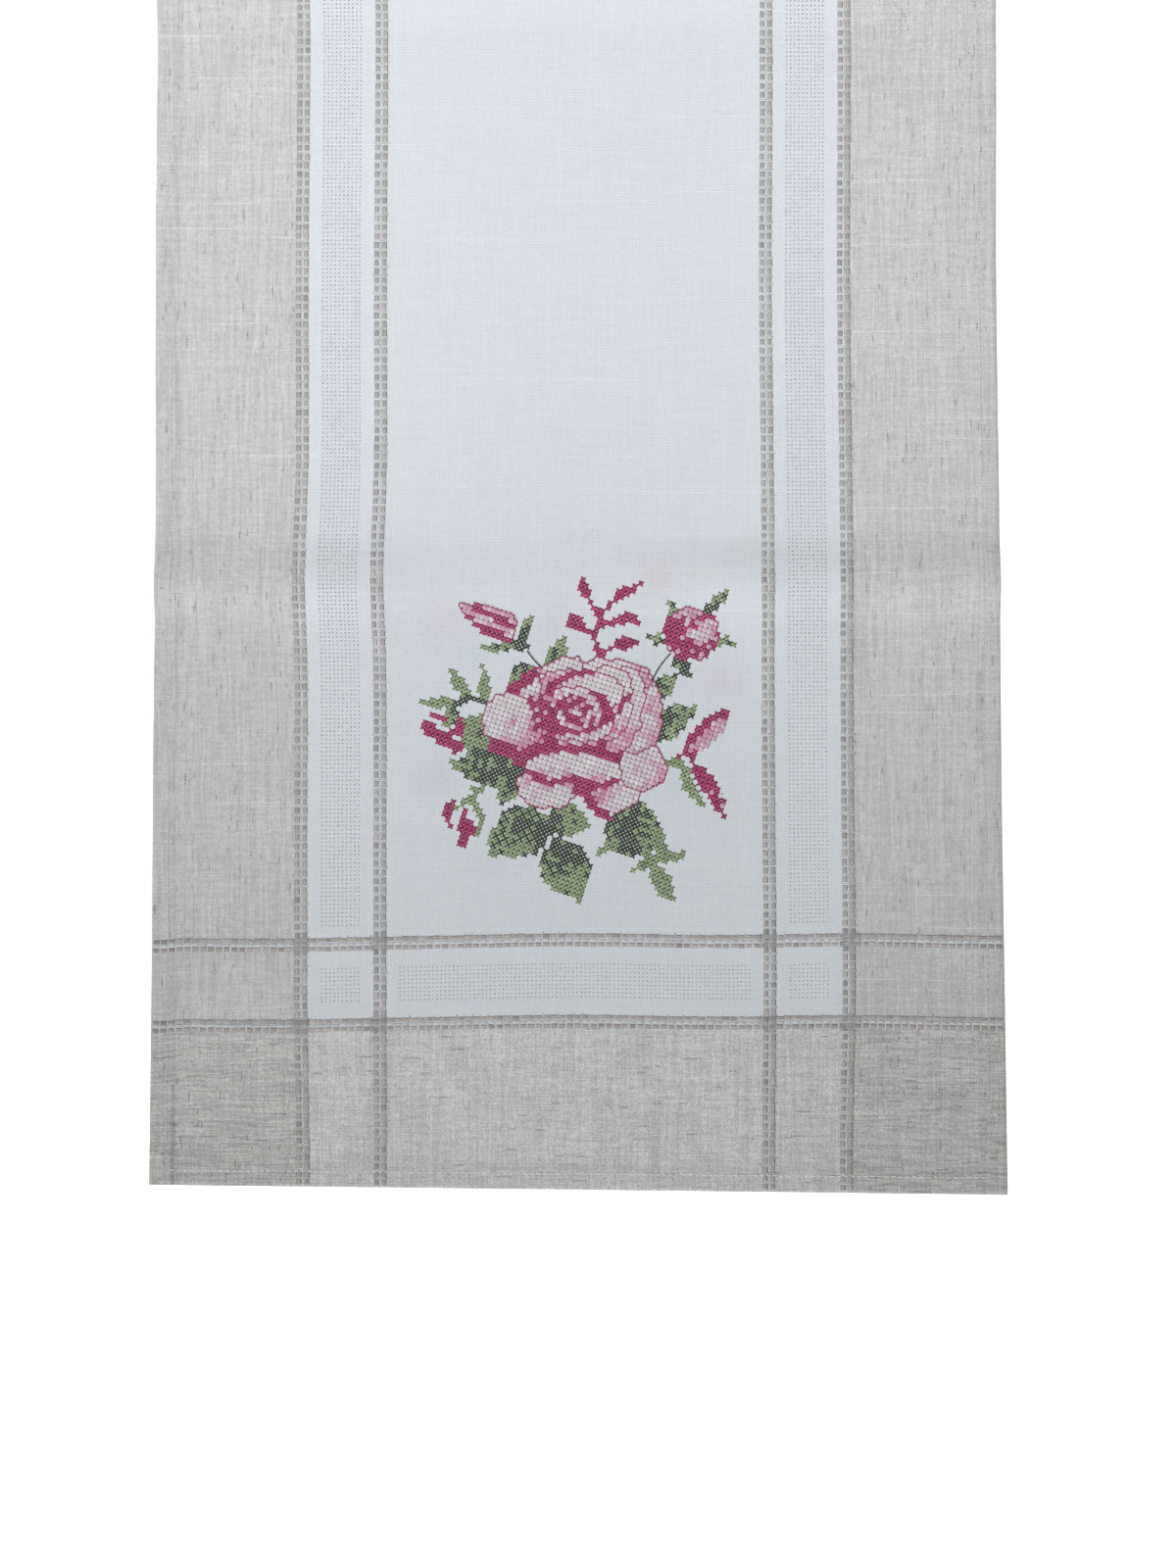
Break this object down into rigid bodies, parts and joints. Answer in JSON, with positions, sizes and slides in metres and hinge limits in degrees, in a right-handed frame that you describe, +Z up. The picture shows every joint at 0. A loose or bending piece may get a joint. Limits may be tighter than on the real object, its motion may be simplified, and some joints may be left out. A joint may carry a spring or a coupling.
{
  "type": "embroidered table runner",
  "caption": "Long woven table runner with a turned hem, grey ladder stripes, openwork bands and a cross-stitched rose spray at each end.",
  "frame": {"origin": "centre of the runner, on the surface that it lies on", "axes": "+X across the runner, +Y along it to the far end, +Z up, out of its embroidered face"},
  "size_m": [0.4, 1.4, 0.0062],
  "materials": {
    "woven_cloth": "plain weave of white cotton with natural linen in the border bands, matt",
    "ladder_thread": "soft grey-brown linen floats of the ladder stripes, matt",
    "white_thread": "white cotton thread of the hem seam, the stripe ties and the openwork, matt",
    "rose_thread": "raspberry embroidery thread, satin",
    "pale_thread": "pale pink and off-white embroidery thread, satin",
    "leaf_thread": "light and dark green embroidery thread, satin"
  },
  "bodies": {
    "root": {"runner": "woven_cloth"}
  },
  "joints": []
}
